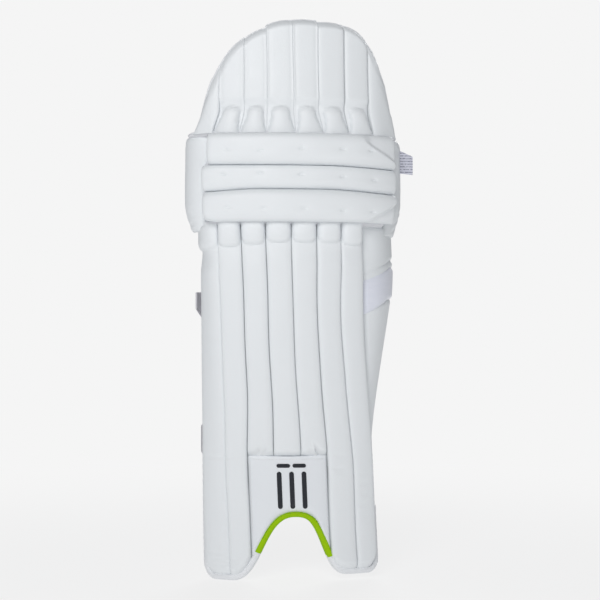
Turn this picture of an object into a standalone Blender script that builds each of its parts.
"""Cricket leg pad for the left leg of a right-handed batter, standing upright on its two feet.

The front of the pad faces -Y, +Z is up and +X is the wearer's outer side.
Everything is laid out on a curved shell: s runs along the shell's plan section, z is the height,
and h is the distance out of the shell's front surface. All driving dimensions are in millimetres.
"""

import math

import bmesh
import bpy
from mathutils import Vector

MM = 0.001

# The origin is below the middle of the assembled pad.
CENTRE_X = 12.231
CENTRE_Y = 58.064

# Heights of the horizontal seams.
SHIN_TOP = 453.0
LOWER_TOP = 494.5
MIDDLE_TOP = 524.5
UPPER_TOP = 565.5
HAT_TOP = 709.7
HAT_PEAK = 5.0
HAT_HALF = 137.0
KNEE_GAP = 2.2

# Side view: how the shell leans and bends.
SHIN_LEAN = 18.0
FOOT_KICK = 6.0
FOOT_KICK_TOP = 120.0
HAT_TILT = math.tan(math.radians(6.0))

# Plan sections as arcs of (length, turn in degrees), walked outwards from the middle of the pad.
SHIN_RIGHT = ((62.0, 12.5), (25.0, 18.0), (3.0, 12.0), (120.0, 56.0))
KNEE_LEFT = ((62.0, 12.5), (38.0, 10.0), (50.0, 67.5), (80.0, 0.0))
KNEE_RIGHT = ((62.0, 12.5), (33.0, 14.0), (28.0, 16.0), (44.0, 47.5), (80.0, 0.0))
HAT_LEFT = ((62.0, 12.5), (41.0, 10.0), (3.0, 12.0), (60.0, 38.0))
HAT_RIGHT = ((62.0, 12.5), (36.0, 12.0), (3.0, 8.0), (70.0, 42.0))
SIDE_ROLL_FOLD_TOP = 52.0
SIDE_ROLL_FOLD_FOOT = 6.0
SIDE_ROLL_TURN = 14.0

# Vertical rolls: the seams between them, and the roll's cross-section.
SHIN_SEAMS = (-135.0, -101.5, -70.0, -38.0, -6.0, 26.0, 58.0, 88.5)
HAT_SEAMS = (-133.0, -105.5, -71.5, -37.5, -2.5, 32.5, 66.0, 98.5, 139.0)
ROLL_STEPS = (-0.93, -0.6, 0.0, 0.6, 0.93)
SEAM_HEIGHT = 2.5
ROLL_HEIGHT = 17.0
SIDE_ROLL_HEIGHT = 14.5
ROLL_POWER = 2.6
FACING = 1.2
CORE_OFFSET = 1.8
CORE_BASE = 0.5
BACKING = 3.0

# Instep arch, feet and the panel over the instep.
ARCH_MIDDLE = -17.5
ARCH_HALF = 67.0
ARCH_HEIGHT = 80.0
FOOT_ENDS = (-118.0, 77.0)
FOOT_CORNER = 16.0
FOOT_CORNER_RISE = 22.0
GREEN_HALF = 41.0
BINDING = 3.5
BINDING_GAP = 1.0
PANEL = (-68.8, 24.8)
PANEL_TOP = 157.0
PANEL_FLAT = 5.5
PANEL_ROLLS = (2, 3, 4)
PANEL_FOAM = (6.1, 9.6)
PANEL_COVER = (10.1, 11.6)
BINDING_FRONT = 7.0
BINDING_BACK = 4.0
RIM = 14.0
RIM_HEIGHT = 7.0
TUCK = (2.0, 11.0)
FLAP_CLEARANCE = 14.0

# Cushions on the leg side, as (s range, z range) and a depth.
CUSHION_DEPTH = 20.0
CUSHION_GAP = 0.5
CUSHION_EDGE = 0.35
LEFT_CUSHION = ((-88.0, -50.0), (115.0, 436.0))
RIGHT_CUSHION = ((24.0, 62.0), (115.0, 436.0))
INSTEP_CUSHION = ((-46.0, 20.0), (102.0, 150.0))
INSTEP_CUSHION_DEPTH = 16.0
KNEE_CUSHION = (-66.0, 66.0)
KNEE_CUSHION_MARGIN = 3.0

# Inner side wing and the loop tape that the straps fasten to.
INNER_WING = ((-184.0, -139.0), (105.0, 425.0))
LOOP_PATCH = (-182.0, -148.0)
LOOP_TONGUE = (-210.0, -161.0)
LOOP_HALF_HEIGHT = 24.0
LOOP_FACES = (0.4, 1.6)
TONGUE_FACES = (0.2, 2.6)

# Knee flaps as (s range, z range, fullness).
LEFT_FLAP = ((-160.0, -118.5), (448.0, 557.0), 11.5)
RIGHT_FLAP = ((125.5, 170.0), (446.0, 557.0), 13.0)
FLAP_EDGE = 2.0

# Knee rolls.
KNEE_ROLL = (-115.0, 122.0)
KNEE_ROLL_HEIGHT = 34.0
KNEE_ROLL_POWER = 2.4
KNEE_ROLL_STEPS = 9
KNEE_END = 16.0
KNEE_END_HEIGHT = 0.35
KNEE_END_COLUMNS = 14.0
KNEE_COVER = 1.3
KNEE_COVER_BASE = 0.8
KNEE_CORE_GAP = 0.7
KNEE_CORE_FACES = (0.5, 1.2)

# Side wing.
WING_START = 90.5
WING_LENGTH = 98.0
WING_FOOT = 165.0
WING_SPREAD = 240.0
WING_TOP_DROP = 16.0
WING_BULGE = 11.5
WING_BULGE_SHARE = 0.16
WING_FACES = (0.3, 1.3)
WING_LINING = (-0.2, -1.2)
FLASH_BAND = ((338.0, 394.0), (344.0, 409.0))
FLASH_MARGIN = 0.05
FLASH_FACES = (0.8, 1.6)

# Straps.
STRAP_THICK = 2.2
STRAP_WIDTH = 36.0
STRAP_GAP = 1.4
STRAP_PIVOT = 2.5
TAB_LENGTH = 42.0
TAB_START = 2.5
TAB_PIVOT = 1.2
TAB_FLARES = {"knee": 2.0, "calf": 9.0, "ankle": 2.0}
TAB_TAPER = 14.0
CALF_Z = 347.0
ANKLE_Z = 172.0
KNEE_Z = 509.0
LABEL_Z = 530.0
LABEL_ROOT = (147.0, 15.8)
LABEL_REACH = (1.2, 17.7)
LABEL_HALF_HEIGHTS = (15.0, 9.0)
LABEL_HALF_THICK = 0.4
LABEL_PIVOT = 0.8

# Hinge lines. The knee folds about lines across the pad, a little behind the shell, at each
# horizontal seam. The wing folds about its own seam.
KNEE_AXIS_Y = 20.0
KNEE_HINGES = (
    ("lower_roll", SHIN_TOP, ("lower_roll_", "knee_bolster_lower")),
    ("middle_roll", LOWER_TOP, ("middle_roll_", "knee_flap_", "knee_loop_", "knee_strap")),
    ("upper_roll", MIDDLE_TOP, ("upper_roll_", "knee_bolster_upper")),
    ("top_hat", UPPER_TOP, ("top_hat_",)),
)
WING_SEAM = 89.5


def lerp(a, b, t):
    return a + (b - a) * t


def smooth(t):
    t = min(1.0, max(0.0, t))
    return t * t * (3.0 - 2.0 * t)


def spread(a, b, count):
    """Evenly spaced values from a to b, both ends included."""
    return [lerp(a, b, i / (count - 1)) for i in range(count)]


# ---------------------------------------------------------------- the curved shell


def shin_left(z):
    """Arcs of the shin's left side: the side roll folds back less towards the foot."""
    fold = lerp(SIDE_ROLL_FOLD_FOOT, SIDE_ROLL_FOLD_TOP, min(1.0, max(0.0, z / SHIN_TOP)))
    rest = 90.0 - 20.5 - fold - SIDE_ROLL_TURN
    return ((62.0, 12.5), (37.0, 8.0), (5.0, fold), (29.5, SIDE_ROLL_TURN), (4.0, rest), (80.0, 0.0))


def arc_walk(arcs, distance):
    """Plan position and heading at a distance along joined arcs."""
    x = y = heading = 0.0
    for length, turn in arcs:
        step = min(distance, length)
        bend = math.radians(turn) / length
        after = heading + bend * step
        if abs(bend) < 1e-9:
            x += step * math.cos(heading)
            y += step * math.sin(heading)
        else:
            x += (math.sin(after) - math.sin(heading)) / bend
            y += (math.cos(heading) - math.cos(after)) / bend
        heading = after
        distance -= step
        if distance <= 0.0:
            break
    return x, y, heading


def place(section, s, z, h):
    """World position of shell coordinates (s, z, h) on the shin, knee or hat section."""
    sides = {
        "shin": (shin_left(z), SHIN_RIGHT),
        "knee": (KNEE_LEFT, KNEE_RIGHT),
        "hat": (HAT_LEFT, HAT_RIGHT),
    }
    left, right = sides[section]
    if s < 0.0:
        x, y, heading = arc_walk(left, -s)
        x, heading = -x, -heading
    else:
        x, y, heading = arc_walk(right, s)
    x += h * math.sin(heading) + SHIN_LEAN * max(0.0, 1.0 - z / SHIN_TOP)
    y -= h * math.cos(heading)
    y -= FOOT_KICK * max(0.0, 1.0 - z / FOOT_KICK_TOP) ** 2
    y += max(0.0, z - UPPER_TOP) * HAT_TILT
    return Vector((x - CENTRE_X, y - CENTRE_Y, z)) * MM


def bottom_edge(s):
    """Height of the pad's bottom edge: two flat feet with the instep arch between them."""
    away = abs(s - ARCH_MIDDLE)
    if away < ARCH_HALF:
        return ARCH_HEIGHT * (1.0 + math.cos(math.pi * away / ARCH_HALF)) / 2.0
    past = max(FOOT_ENDS[0] - s, s - FOOT_ENDS[1], 0.0) / FOOT_CORNER
    return FOOT_CORNER_RISE * (1.0 - math.sqrt(max(0.0, 1.0 - min(past, 1.0) ** 2)))


def above_edge(s, distance):
    """Height of a line that keeps a distance to the bottom edge, measured square to it."""
    slope = (bottom_edge(s + 0.5) - bottom_edge(s - 0.5)) / 1.0
    return bottom_edge(s) + distance * min(2.2, math.sqrt(1.0 + slope * slope))


def hat_top(s):
    """Height of the top hat's domed upper edge."""
    away = abs(s - HAT_PEAK) / HAT_HALF
    if s < HAT_PEAK:
        rise = max(0.0, 1.0 - 0.53 * away**2 - 0.72 * away**6)
    else:
        rise = max(0.0, 1.0 - away**5) ** 1.35
    return max(UPPER_TOP + 12.0, UPPER_TOP + (HAT_TOP - UPPER_TOP) * rise)


def shin_top(s):
    """Height of the shin's upper edge, which drops away under the knee flap."""
    return SHIN_TOP - KNEE_GAP / 2 - FLAP_CLEARANCE * smooth((-96.0 - s) / 8.0)


# ---------------------------------------------------------------- solids


def make_object(name, bm, material):
    bmesh.ops.recalc_face_normals(bm, faces=bm.faces)
    mesh = bpy.data.meshes.new(name)
    bm.to_mesh(mesh)
    bm.free()
    mesh.shade_smooth()
    mesh.set_sharp_from_angle(angle=math.radians(40.0))
    mesh.materials.append(material)
    part = bpy.data.objects.new(name, mesh)
    bpy.context.collection.objects.link(part)
    return part


def sheet_solid(name, front, back, material):
    """One closed solid between two matching grids of points, rows going up and columns to the right."""
    bm = bmesh.new()
    near = [[bm.verts.new(p) for p in row] for row in front]
    far = [[bm.verts.new(p) for p in row] for row in back]
    rows = len(near)
    columns = len(near[0])
    for r in range(rows - 1):
        for c in range(columns - 1):
            bm.faces.new((near[r][c], near[r][c + 1], near[r + 1][c + 1], near[r + 1][c]))
            bm.faces.new((far[r][c], far[r + 1][c], far[r + 1][c + 1], far[r][c + 1]))
    rim = [(0, c) for c in range(columns)]
    rim += [(r, columns - 1) for r in range(1, rows)]
    rim += [(rows - 1, c) for c in range(columns - 2, -1, -1)]
    rim += [(r, 0) for r in range(rows - 2, 0, -1)]
    for (r0, c0), (r1, c1) in zip(rim, rim[1:] + rim[:1]):
        bm.faces.new((near[r1][c1], near[r0][c0], far[r0][c0], far[r1][c1]))
    return make_object(name, bm, material)


def level(z):
    """A row at one height all the way across."""
    return lambda s: z


def between(low, high, fractions):
    """Rows at fractions of the way between two rows."""
    return [lambda s, t=t: lerp(low(s), high(s), t) for t in fractions]


def shell_sheet(name, section, columns, levels, outer, inner, material):
    """A sheet on the shell whose rows are levels(s), from h = inner to h = outer(s, z)."""
    front = []
    back = []
    for row in levels:
        front.append([place(section, s, row(s), outer(s, row(s))) for s in columns])
        back.append([place(section, s, row(s), inner) for s in columns])
    return sheet_solid(name, front, back, material)


def even(height):
    """A surface at one height out of the shell."""
    return lambda s, z: height


def roll_point(u, half, low, high, offset):
    """Across-roll position and height of a roll's cross-section, moved inwards by offset."""
    rise = max(0.0, 1.0 - abs(u) ** ROLL_POWER) ** (1.0 / ROLL_POWER)
    across = math.copysign(abs(u) ** (ROLL_POWER - 1.0) / half, u)
    up = rise ** (ROLL_POWER - 1.0) / max(high - low, 1.0)
    if abs(u) > 0.999:
        across, up = 0.0, 1.0
    size = math.hypot(across, up)
    return u * half - offset * across / size, low + (high - low) * rise - offset * up / size


def roll_columns(seams):
    """Every column across a row of rolls, as (roll number, u)."""
    columns = []
    for roll in range(len(seams) - 1):
        columns.append((roll, -1.0))
        columns += [(roll, u) for u in ROLL_STEPS]
    columns.append((len(seams) - 2, 1.0))
    return columns


def roll_surface(section, seams, columns, levels, height, offset, flat=None):
    """Grid of points over a row of rolls, moved inwards by offset, or all at h = flat."""
    grid = []
    for row in levels:
        line = []
        for roll, u in columns:
            middle = (seams[roll] + seams[roll + 1]) / 2.0
            half = (seams[roll + 1] - seams[roll]) / 2.0
            s = middle + u * half
            across, h = roll_point(u, half, SEAM_HEIGHT, height(roll, s, row(s)), offset)
            line.append(place(section, middle + across, row(s), h if flat is None else flat))
        grid.append(line)
    return grid


def roll_facing(name, section, seams, levels, height, material):
    """Corrugated cover over a row of rolls. height(roll, s, z) is a roll's height."""
    columns = roll_columns(seams)
    outer = roll_surface(section, seams, columns, levels, height, 0.0)
    inner = roll_surface(section, seams, columns, levels, height, FACING)
    return sheet_solid(name, outer, inner, material)


def roll_core(name, section, seams, roll, levels, height, material):
    """D-section foam bar inside one roll."""
    columns = [(roll, u) for u in ROLL_STEPS]
    domed = roll_surface(section, seams, columns, levels, height, CORE_OFFSET)
    base = roll_surface(section, seams, columns, levels, height, CORE_OFFSET, CORE_BASE)
    return sheet_solid(name, domed, base, material)


def bolster(name, section, s_range, z_range, depth, material):
    """Rounded cushion on the leg side of the shell."""
    start = -BACKING - CUSHION_GAP
    across = (-1.0, -0.8, 0.0, 0.8, 1.0)
    rows = (0.0, 0.08, 0.5, 0.92, 1.0)
    front = []
    back = []
    for t in rows:
        z = lerp(z_range[0], z_range[1], t)
        end = CUSHION_EDGE if t in (0.0, 1.0) else 1.0
        flat_line = []
        domed_line = []
        for u in across:
            s = lerp(s_range[0], s_range[1], (u + 1.0) / 2.0)
            side = CUSHION_EDGE if abs(u) > 0.9 else 1.0
            flat_line.append(place(section, s, z, start))
            domed_line.append(place(section, s, z, start - depth * min(end, side)))
        front.append(flat_line)
        back.append(domed_line)
    return sheet_solid(name, front, back, material)


# ---------------------------------------------------------------- materials


def finish(name, colour, roughness, metallic=0.0):
    material = bpy.data.materials.new(name)
    material.use_nodes = True
    shader = material.node_tree.nodes["Principled BSDF"]
    shader.inputs["Base Color"].default_value = (*colour, 1.0)
    shader.inputs["Roughness"].default_value = roughness
    shader.inputs["Metallic"].default_value = metallic
    material.diffuse_color = (*colour, 1.0)
    return material


def make_finishes():
    return {
        "facing": finish("white_facing", (0.82, 0.83, 0.86), 0.5),
        "foam": finish("roll_foam", (0.72, 0.70, 0.62), 0.95),
        "board": finish("backing_board", (0.55, 0.56, 0.58), 0.9),
        "lining": finish("brushed_lining", (0.70, 0.71, 0.73), 0.95),
        "green": finish("green_binding", (0.29, 0.56, 0.015), 0.55),
        "satin": finish("satin_flash", (0.70, 0.75, 0.83), 0.35),
        "webbing": finish("grey_webbing", (0.50, 0.50, 0.53), 0.85),
        "loop": finish("loop_tape", (0.58, 0.58, 0.60), 1.0),
        "label": finish("label_cloth", (0.66, 0.66, 0.74), 0.7),
    }


# ---------------------------------------------------------------- shin


def shin_roll_height(roll, s, z):
    """Roll heights on the shin: lower at the foot's rim, and flat under the instep panel."""
    full = SIDE_ROLL_HEIGHT if roll == 0 else ROLL_HEIGHT
    if roll in PANEL_ROLLS:
        return lerp(PANEL_FLAT, full, smooth((z - PANEL_TOP - TUCK[0]) / (TUCK[1] - TUCK[0])))
    return lerp(RIM_HEIGHT, full, smooth((z - lower_shin_edge(s)) / RIM))


def edge_columns(start=SHIN_SEAMS[0], end=SHIN_SEAMS[-1]):
    """The facing's own columns between two places, so that edges that meet share their corners."""
    columns = [start]
    for roll, u in roll_columns(SHIN_SEAMS):
        s = lerp(SHIN_SEAMS[roll], SHIN_SEAMS[roll + 1], (u + 1.0) / 2.0)
        if start + 0.6 < s < end - 0.6:
            columns.append(s)
    return columns + [end]


def lower_shin_edge(s):
    return above_edge(s, BINDING + BINDING_GAP)


def lower_core_edge(s):
    return lower_shin_edge(s) + RIM


def build_shin(finishes):
    tucks = [level(PANEL_TOP + TUCK[0]), level(PANEL_TOP + TUCK[1])]
    over_panel = tucks + [level(260.0), level(360.0), shin_top]
    foot = [lower_shin_edge, lower_core_edge] + between(lower_core_edge, over_panel[0], (0.5,))
    roll_facing("shin_facing", "shin", SHIN_SEAMS, foot + over_panel, shin_roll_height,
                finishes["facing"])
    for roll in range(len(SHIN_SEAMS) - 1):
        levels = over_panel[1:] if roll in PANEL_ROLLS else foot[1:] + over_panel
        roll_core(f"shin_core_{roll + 1}", "shin", SHIN_SEAMS, roll, levels, shin_roll_height,
                  finishes["foam"])
    shell_sheet("shin_backing", "shin", edge_columns(), foot + over_panel, even(0.0), -BACKING,
                finishes["board"])
    build_instep(finishes)
    build_edge_bindings(finishes)
    bolster("shin_bolster_left", "shin", *LEFT_CUSHION, CUSHION_DEPTH, finishes["lining"])
    bolster("shin_bolster_right", "shin", *RIGHT_CUSHION, CUSHION_DEPTH, finishes["lining"])
    bolster("instep_bolster", "shin", *INSTEP_CUSHION, INSTEP_CUSHION_DEPTH, finishes["lining"])
    wing_columns, wing_heights = INNER_WING
    shell_sheet("inner_wing", "shin", spread(*wing_columns, 4),
                [level(z) for z in spread(*wing_heights, 5)], even(0.0), -BACKING, finishes["lining"])
    for name, z in (("calf", CALF_Z), ("ankle", ANKLE_Z)):
        shell_sheet(f"{name}_loop_patch", "shin", spread(*LOOP_PATCH, 3),
                    [level(z - LOOP_HALF_HEIGHT), level(z + LOOP_HALF_HEIGHT)], even(LOOP_FACES[1]),
                    LOOP_FACES[0], finishes["loop"])


def build_instep(finishes):
    columns = edge_columns(PANEL[0], PANEL[1])
    foam_levels = between(lower_shin_edge, level(PANEL_TOP - 1.5), (0.0, 0.5, 1.0))
    shell_sheet("instep_foam", "shin", columns, foam_levels, even(PANEL_FOAM[1]), PANEL_FOAM[0],
                finishes["foam"])
    panel_levels = between(lower_shin_edge, level(PANEL_TOP), (0.0, 0.5, 1.0))
    shell_sheet("instep_panel", "shin", columns, panel_levels, even(PANEL_COVER[1]), PANEL_COVER[0],
                finishes["facing"])


def build_edge_bindings(finishes):
    green_left = ARCH_MIDDLE - GREEN_HALF
    green_right = ARCH_MIDDLE + GREEN_HALF
    runs = (
        ("foot_binding_left", edge_columns(end=green_left - 0.4), "facing"),
        ("instep_binding", edge_columns(green_left, green_right), "green"),
        ("foot_binding_right", edge_columns(green_right + 0.4), "facing"),
    )
    for name, columns, slot in runs:
        levels = [bottom_edge, lambda s: above_edge(s, BINDING)]
        shell_sheet(name, "shin", columns, levels, even(BINDING_FRONT), -BINDING_BACK, finishes[slot])


# ---------------------------------------------------------------- side wing


def wing_length(z):
    return max(2.0, WING_LENGTH * min(1.0, max(0.0, (z - WING_FOOT) / WING_SPREAD) ** 1.4))


def wing_point(across, t, lift):
    """Point on the wing: across and t run 0 to 1, and lift is added to the wing's own height."""
    z = lerp(WING_FOOT, SHIN_TOP - KNEE_GAP / 2, t)
    z -= WING_TOP_DROP * smooth(across * 3.0) * smooth((t - 0.6) / 0.4)
    s = WING_START + across * wing_length(z)
    return place("shin", s, z, lift)


def wing_height(across, t):
    z = lerp(WING_FOOT, SHIN_TOP, t)
    bulge = min(WING_BULGE, WING_BULGE_SHARE * wing_length(z))
    return WING_FACES[1] + bulge * (1.0 - (2.0 * across - 1.0) ** 2)


def wing_sheet(name, acrosses, rows, outer, inner, material):
    grids = []
    for surface in (outer, inner):
        grids.append([[wing_point(a, t, surface(a, t)) for a in acrosses] for t in rows])
    return sheet_solid(name, grids[0], grids[1], material)


def build_wing(finishes):
    acrosses = spread(0.0, 1.0, 9)
    rows = (0.0, 0.15, 0.3, 0.45, 0.6, 0.75, 0.9, 1.0)
    wing_sheet("side_wing_pad", acrosses, rows, wing_height, even(WING_FACES[0]), finishes["facing"])
    wing_sheet("side_wing_lining", acrosses, rows, even(WING_LINING[0]), even(WING_LINING[1]),
               finishes["lining"])
    span = SHIN_TOP - KNEE_GAP / 2 - WING_FOOT
    front = []
    back = []
    for k in spread(0.0, 1.0, 4):
        near = []
        far = []
        for across in spread(FLASH_MARGIN, 1.0 - FLASH_MARGIN, 8):
            low = lerp(FLASH_BAND[0][0], FLASH_BAND[1][0], across)
            high = lerp(FLASH_BAND[0][1], FLASH_BAND[1][1], across)
            t = (lerp(low, high, k) - WING_FOOT) / span
            near.append(wing_point(across, t, wing_height(across, t) + FLASH_FACES[1]))
            far.append(wing_point(across, t, wing_height(across, t) + FLASH_FACES[0]))
        front.append(near)
        back.append(far)
    sheet_solid("side_wing_flash", front, back, finishes["satin"])


# ---------------------------------------------------------------- knee


def knee_end(s):
    """How full a knee roll is near its two ends."""
    near = min(s - KNEE_ROLL[0], KNEE_ROLL[1] - s) / KNEE_END
    return lerp(KNEE_END_HEIGHT, 1.0, math.sqrt(max(0.0, 1.0 - max(0.0, 1.0 - near) ** 2)))


def knee_surface(columns, z_range, offset, base, flat=False):
    """Rows of a knee roll's rounded front, moved inwards by offset, or of its flat base."""
    middle = (z_range[0] + z_range[1]) / 2.0
    half = (z_range[1] - z_range[0]) / 2.0 - offset
    grid = []
    for angle in spread(0.0, math.pi, KNEE_ROLL_STEPS):
        rise = 0.0 if flat else math.sin(angle) ** (2.0 / KNEE_ROLL_POWER)
        along = math.copysign(abs(math.cos(angle)) ** (2.0 / KNEE_ROLL_POWER), -math.cos(angle))
        line = []
        for s in columns:
            height = KNEE_ROLL_HEIGHT * knee_end(s) - offset - base
            line.append(place("knee", s, middle + half * along, base + height * max(rise, 0.0)))
        grid.append(line)
    return grid


def build_knee_roll(name, z_range, finishes):
    start, end = KNEE_ROLL
    columns = spread(start, start + KNEE_END_COLUMNS, 4)[:-1]
    columns += spread(start + KNEE_END_COLUMNS, end - KNEE_END_COLUMNS, 13)
    columns += spread(end - KNEE_END_COLUMNS, end, 4)[1:]
    outer = knee_surface(columns, z_range, 0.0, KNEE_COVER_BASE)
    inner = knee_surface(columns, z_range, KNEE_COVER, KNEE_COVER_BASE)
    sheet_solid(f"{name}_cover", outer, inner, finishes["facing"])
    inside = KNEE_COVER + KNEE_CORE_GAP
    core = knee_surface(columns[1:-1], z_range, inside, KNEE_CORE_FACES[1])
    base = knee_surface(columns[1:-1], z_range, inside, KNEE_CORE_FACES[0], flat=True)
    sheet_solid(f"{name}_core", core, base, finishes["foam"])
    shell_sheet(f"{name}_backing", "knee", columns, [level(z_range[0]), level(z_range[1])], even(0.0),
                -BACKING, finishes["board"])


def flap_sheet(name, s_range, z_range, fullness, material):
    """Upright padded flap at one end of the knee rolls."""
    def outer(s, z):
        across = abs(2.0 * (s - s_range[0]) / (s_range[1] - s_range[0]) - 1.0)
        up = abs(2.0 * (z - z_range[0]) / (z_range[1] - z_range[0]) - 1.0)
        return FLAP_EDGE + fullness * math.sqrt(max(0.0, (1.0 - across**3) * (1.0 - up**6)))

    levels = between(level(z_range[0]), level(z_range[1]), (0.0, 0.06, 0.2, 0.5, 0.8, 0.94, 1.0))
    return shell_sheet(name, "knee", spread(s_range[0], s_range[1], 7), levels, outer, 0.0, material)


def build_knee(finishes):
    gap = KNEE_GAP / 2
    build_knee_roll("lower_roll", (SHIN_TOP + gap, LOWER_TOP - gap), finishes)
    build_knee_roll("middle_roll", (LOWER_TOP + gap, MIDDLE_TOP - gap), finishes)
    build_knee_roll("upper_roll", (MIDDLE_TOP + gap, UPPER_TOP - gap), finishes)
    for name, low, high in (("lower", SHIN_TOP, LOWER_TOP), ("upper", MIDDLE_TOP, UPPER_TOP)):
        inset = (low + KNEE_CUSHION_MARGIN, high - KNEE_CUSHION_MARGIN)
        bolster(f"knee_bolster_{name}", "knee", KNEE_CUSHION, inset, CUSHION_DEPTH, finishes["lining"])
    flap_sheet("knee_flap_left", *LEFT_FLAP, finishes["facing"])
    flap_sheet("knee_flap_right", *RIGHT_FLAP, finishes["facing"])
    shell_sheet("knee_loop_tongue", "knee", spread(*LOOP_TONGUE, 4),
                [level(KNEE_Z - LOOP_HALF_HEIGHT), level(KNEE_Z + LOOP_HALF_HEIGHT)],
                even(TONGUE_FACES[1]), TONGUE_FACES[0], finishes["loop"])


# ---------------------------------------------------------------- top hat


def hat_roll_height(roll, s, z):
    return lerp(RIM_HEIGHT, ROLL_HEIGHT, smooth((hat_top(s) - z) / (0.16 * (hat_top(s) - UPPER_TOP))))


def build_hat(finishes):
    levels = between(level(UPPER_TOP + KNEE_GAP / 2), hat_top, (0.0, 0.5, 0.84, 1.0))
    roll_facing("top_hat_facing", "hat", HAT_SEAMS, levels, hat_roll_height, finishes["facing"])
    for roll in range(len(HAT_SEAMS) - 1):
        roll_core(f"top_hat_core_{roll + 1}", "hat", HAT_SEAMS, roll, levels[:-1], hat_roll_height,
                  finishes["foam"])
    hat_columns = [
        lerp(HAT_SEAMS[roll], HAT_SEAMS[roll + 1], (u + 1.0) / 2.0)
        for roll, u in roll_columns(HAT_SEAMS)
    ]
    shell_sheet("top_hat_backing", "hat", hat_columns, [levels[0], levels[1], levels[3]], even(0.0),
                -BACKING, finishes["board"])


# ---------------------------------------------------------------- straps and label


# Each strap: parent section, height, s range of the sewn end on the right, s of its loop on the
# left, height out of the shell there, and how far the band bows back behind the leg.
STRAPS = {
    "knee": ("knee", KNEE_Z, (145.0, 181.0), -208.0, 3.2, 46.0),
    "calf": ("shin", CALF_Z, (72.0, 178.0), -186.0, 2.2, 44.0),
    "ankle": ("shin", ANKLE_Z, (65.0, 87.0), -186.0, 2.2, 48.0),
}


def strap_ends(name):
    """Plan points of a strap's hinge on the right and of its tab's hinge on the left, in mm."""
    section, z, sewn, loop, out, bow = STRAPS[name]
    under = -BACKING - STRAP_GAP - STRAP_THICK / 2
    right = place(section, sewn[1] + STRAP_PIVOT, z, under) / MM
    left = place(section, loop, z, out + STRAP_THICK / 2) / MM
    return right, left


def band_solid(name, points, z_lines, material):
    """Flat band of webbing along plan points; z_lines gives each point's (bottom, top) heights."""
    front = []
    back = []
    for line in (0, 1):
        near = []
        far = []
        for i, point in enumerate(points):
            before = points[max(0, i - 1)]
            after = points[min(len(points) - 1, i + 1)]
            along = (after - before)
            along.z = 0.0
            along.normalize()
            side = Vector((-along.y, along.x, 0.0)) * (STRAP_THICK / 2)
            z = z_lines[i][line]
            near.append((Vector((point.x, point.y, z)) - side) * MM)
            far.append((Vector((point.x, point.y, z)) + side) * MM)
        front.append(near)
        back.append(far)
    return sheet_solid(name, front, back, material)


def set_pivot(part, x, y, z):
    """Move an object's origin to its joint axis without moving its mesh."""
    pivot = Vector((x, y, z)) * MM
    for vertex in part.data.vertices:
        vertex.co -= pivot
    part.location = pivot


def build_strap(name, finishes):
    section, z, sewn, loop, out, bow = STRAPS[name]
    right, left = strap_ends(name)
    under = -BACKING - STRAP_GAP
    low, high = z - STRAP_WIDTH / 2, z + STRAP_WIDTH / 2
    shell_sheet(f"{name}_strap_anchor", section, spread(sewn[0], sewn[1], 9),
                [level(low), level(high)], even(under), under - STRAP_THICK, finishes["webbing"])
    middle = (right.x + left.x) / 2.0
    half = (right.x - left.x) / 2.0
    points = []
    for turn in spread(0.0, math.pi, 21):
        y = lerp(right.y, left.y, turn / math.pi) + bow * math.sin(turn)
        points.append(Vector((middle + half * math.cos(turn), y, z)))
    band = band_solid(f"{name}_strap", points, [(low, high)] * len(points), finishes["webbing"])
    set_pivot(band, right.x, right.y, z)
    tab_points = []
    tab_lines = []
    for t in spread(0.0, 1.0, 6):
        x = left.x - TAB_FLARES[name] * smooth((t - 0.55) / 0.45)
        tab_points.append(Vector((x, left.y - TAB_START - TAB_LENGTH * t, z)))
        tab_lines.append((low + TAB_TAPER * smooth((t - 0.6) / 0.4), high))
    tab = band_solid(f"{name}_strap_tab", tab_points, tab_lines, finishes["webbing"])
    set_pivot(tab, left.x, left.y - TAB_PIVOT, z)


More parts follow.
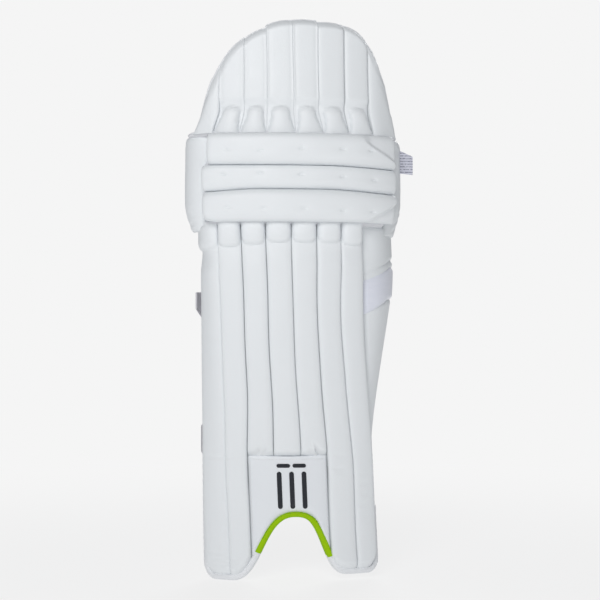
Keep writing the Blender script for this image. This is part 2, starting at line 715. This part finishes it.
def build_label(finishes):
    """Folded cloth label sewn to the right knee flap."""
    root = place("knee", LABEL_ROOT[0], LABEL_Z, LABEL_ROOT[1]) / MM
    front = []
    back = []
    for side in (-1.0, 1.0):
        near = []
        far = []
        for t in spread(0.0, 1.0, 4):
            x = root.x + lerp(*LABEL_REACH, t)
            z = LABEL_Z + side * lerp(*LABEL_HALF_HEIGHTS, t)
            near.append(Vector((x, root.y - LABEL_HALF_THICK, z)) * MM)
            far.append(Vector((x, root.y + LABEL_HALF_THICK, z)) * MM)
        front.append(near)
        back.append(far)
    label = sheet_solid("size_label", front, back, finishes["label"])
    set_pivot(label, root.x + LABEL_PIVOT, root.y, LABEL_Z)


def hinge_empty(name, position):
    empty = bpy.data.objects.new(name, None)
    empty.empty_display_size = 0.03
    empty.location = position
    bpy.context.collection.objects.link(empty)
    return empty


def carry(prefixes, empty, position):
    """Parent every piece whose name starts with one of the prefixes to an empty, where it stands."""
    for part in bpy.data.objects:
        if part.type == "MESH" and part.parent is None and part.name.startswith(prefixes):
            part.parent = empty
            part.location -= position


def build_hinges():
    """Tabs ride on their bands, and moving groups hang from empties on their joint axes."""
    for name in STRAPS:
        band = bpy.data.objects[f"{name}_strap"]
        tab = bpy.data.objects[f"{name}_strap_tab"]
        tab.parent = band
        tab.location -= band.location
    below = None
    below_position = Vector((0.0, 0.0, 0.0))
    for body, z, prefixes in KNEE_HINGES:
        position = Vector((0.0, KNEE_AXIS_Y - CENTRE_Y, z)) * MM
        empty = hinge_empty(f"{body}_hinge", position - below_position)
        empty.parent = below
        carry(prefixes, empty, position)
        below = empty
        below_position = position
    seam = place("shin", WING_SEAM, SHIN_TOP, 1.0)
    carry(("side_wing_",), hinge_empty("side_wing_hinge", seam), seam)


def main():
    for old in list(bpy.data.objects):
        bpy.data.objects.remove(old, do_unlink=True)
    finishes = make_finishes()
    build_shin(finishes)
    build_wing(finishes)
    build_knee(finishes)
    build_hat(finishes)
    for name in STRAPS:
        build_strap(name, finishes)
    build_label(finishes)
    build_hinges()


main()
